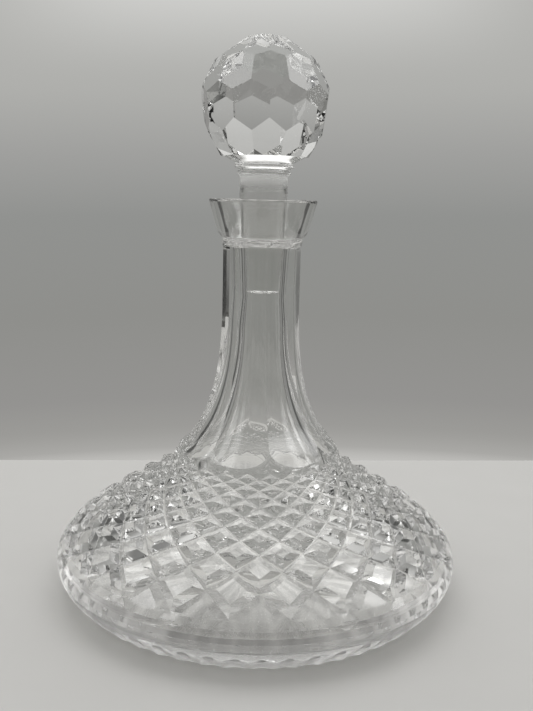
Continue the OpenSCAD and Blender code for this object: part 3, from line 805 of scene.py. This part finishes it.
def make_backdrop():
    """Grey card behind the decanter, as the glass shows it: a flat sheet shaded by height, clear from behind.

    Its shades are painted light, much paler towards the top. A dark opening on each side is painted shade,
    darkest where it is near its middle both across and up.
    """
    material, tree, out = new_material("grey backdrop")
    place = add(tree, "ShaderNodeTexCoord").outputs["Object"]
    height = add(tree, "ShaderNodeSeparateXYZ", Vector=place).outputs["Z"]
    stops = [(z * MM, linear(shade)) for z, shade in WALL_SHADES]
    # Painted light on the card, by height
    shade = shade_over(tree, height, stops, 0.0, WALL_TOP * MM)
    to_right = add(tree, "ShaderNodeVectorMath", {"operation": "DOT_PRODUCT"}, _0=place, _1=way_to(90, 0))
    aside = add(tree, "ShaderNodeMath", {"operation": "ABSOLUTE"}, _0=to_right.outputs["Value"])

    def lit_beside(where, middle, half):
        off = add(tree, "ShaderNodeMath", {"operation": "SUBTRACT"}, _0=where, _1=middle * MM)
        away = add(tree, "ShaderNodeMath", {"operation": "ABSOLUTE"}, _0=off.outputs[0])
        return add(
            tree, "ShaderNodeMapRange", {"interpolation_type": "SMOOTHSTEP"}, Value=away.outputs[0],
            From_Min=(half - OPENING_SOFT) * MM, From_Max=half * MM, To_Min=1 - OPENING_DARK,
        ).outputs[0]

    # Painted shade: the card is dimmed near the middle of each opening
    across = lit_beside(aside.outputs[0], OPENING_X, OPENING_HALF_X)
    upward = lit_beside(height, OPENING_Z, OPENING_HALF_Z)
    light = add(tree, "ShaderNodeMath", {"operation": "MAXIMUM"}, _0=across, _1=upward)
    card = add(tree, "ShaderNodeEmission", Color=shade, Strength=light.outputs[0])
    clear = add(tree, "ShaderNodeBsdfTransparent")
    side = add(tree, "ShaderNodeNewGeometry").outputs["Backfacing"]
    mix = add(tree, "ShaderNodeMixShader", Fac=side, _1=card.outputs[0], _2=clear.outputs[0])
    tree.links.new(mix.outputs[0], out.inputs[0])
    skew = WALL_HALF * FLOOR_SKEW
    left, right = (-WALL_HALF, FLOOR_BACK - skew), (WALL_HALF, FLOOR_BACK + skew)
    corners = [(*left, 0), (*right, 0), (*right, WALL_TOP), (*left, WALL_TOP)]
    backdrop = flat_sheet("backdrop", corners, material)
    backdrop.visible_camera = backdrop.visible_diffuse = backdrop.visible_shadow = False


def shade_by_rise(tree, rise, table):
    """Shade that follows the sine of the rise of the line of sight."""
    return shade_over(tree, rise, [(sin(radians(d)), linear(shade)) for d, shade in table], -1.0, 1.0)


def spot(tree, way, centre, wide, tight, strength):
    """Soft round patch of the room: full inside the tight angle, none outside the wide one."""
    near = add(tree, "ShaderNodeVectorMath", {"operation": "DOT_PRODUCT"}, _0=way, _1=way_to(*centre))
    return add(
        tree, "ShaderNodeMapRange", {"interpolation_type": "SMOOTHSTEP"}, Value=near.outputs["Value"],
        From_Min=cos(radians(wide)), From_Max=cos(radians(tight)), To_Max=strength,
    ).outputs[0]


def make_room():
    """Room round the decanter, as the glass shows it: grey walls and pale ceiling with soft lights and darks.

    The shades follow the rise of the line of sight. The camera sees the backdrop's shades all round, with a
    pool of light behind the ball.
    """
    world = bpy.data.worlds.new("room")
    bpy.context.scene.world = world
    world.use_nodes = True
    tree = world.node_tree
    tree.nodes.clear()
    way = add(tree, "ShaderNodeTexCoord").outputs["Generated"]
    level = (way_to(0, 90) - way_to(90, 0) * tan(BACKDROP_TILT)).normalized()
    rise = add(tree, "ShaderNodeVectorMath", {"operation": "DOT_PRODUCT"}, _0=way, _1=level).outputs["Value"]

    plain = {"data_type": "RGBA"}
    brighter = {"data_type": "RGBA", "blend_type": "ADD"}
    darker = {"data_type": "RGBA", "blend_type": "MULTIPLY"}

    # What the camera sees
    high = add(
        tree, "ShaderNodeMapRange", {"interpolation_type": "SMOOTHSTEP"}, Value=rise,
        From_Min=sin(POOL_FROM), From_Max=sin(POOL_FULL),
    )
    pool = spot(tree, way, *POOL)
    pool = add(tree, "ShaderNodeMath", {"operation": "MULTIPLY"}, _0=high.outputs[0], _1=pool).outputs[0]
    # Painted light on the backdrop as the camera sees it
    backdrop = shade_by_rise(tree, rise, BACKDROP_SHADES)
    backdrop = add(tree, "ShaderNodeMix", brighter, _0=1.0, _6=backdrop, _7=pool).outputs[2]

    # What the glass shows
    room = shade_by_rise(tree, rise, ROOM_SHADES)
    for light in ROOM_LIGHTS:
        room = add(tree, "ShaderNodeMix", brighter, _0=1.0, _6=room, _7=spot(tree, way, *light)).outputs[2]
    for dark in ROOM_DARKS:
        keep = add(tree, "ShaderNodeMath", {"operation": "SUBTRACT"}, _0=1.0, _1=spot(tree, way, *dark))
        room = add(tree, "ShaderNodeMix", darker, _0=1.0, _6=room, _7=keep.outputs[0]).outputs[2]

    camera, glass = who_looks(tree)
    shade = add(tree, "ShaderNodeMix", plain, _0=glass, _6=linear(AMBIENT), _7=room).outputs[2]
    shade = add(tree, "ShaderNodeMix", plain, _0=camera, _6=shade, _7=backdrop).outputs[2]
    back = add(tree, "ShaderNodeBackground", Color=shade)
    add(tree, "ShaderNodeOutputWorld", Surface=back.outputs[0])


def make_top_light():
    """Soft box above the decanter. The glass mirrors the room's own lights instead of its outline."""
    data = bpy.data.lights.new("top_box", "AREA")
    data.shape, data.size, data.size_y = "RECTANGLE", LAMP_WIDE, LAMP_DEEP
    data.energy = LAMP_RADIANCE * pi * data.size * data.size_y
    lamp = bpy.data.objects.new("top_box", data)
    bpy.context.scene.collection.objects.link(lamp)
    lamp.location = in_view(*LAMP_AT)
    lamp.rotation_euler = (-lamp.location).to_track_quat("-Z", "Y").to_euler()
    lamp.visible_glossy = lamp.visible_transmission = False


crystal = lead_crystal("lead crystal, cut and polished", WORN_FOOT, VESSEL_WAVER)
stopper_crystal = lead_crystal("lead crystal, ground plug", GROUND_PLUG, STOPPER_WAVER)
vessel = make_vessel(crystal)
stopper = make_stopper(stopper_crystal)
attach(vessel, "vessel")
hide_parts("vessel")
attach(stopper, "stopper")
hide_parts("stopper")

make_camera()
make_floor()
make_table()
make_backdrop()
make_room()
make_top_light()

# Many bounces, because most sight lines cross the glass several times
scene = bpy.context.scene
scene.view_settings.view_transform = "Standard"
scene.cycles.max_bounces = 24
scene.cycles.transmission_bounces = 24
scene.cycles.glossy_bounces = 12
scene.cycles.transparent_max_bounces = 12
scene.cycles.sample_clamp_indirect = 6.0
scene.cycles.blur_glossy = 0.3
scene.cycles.use_denoising = True
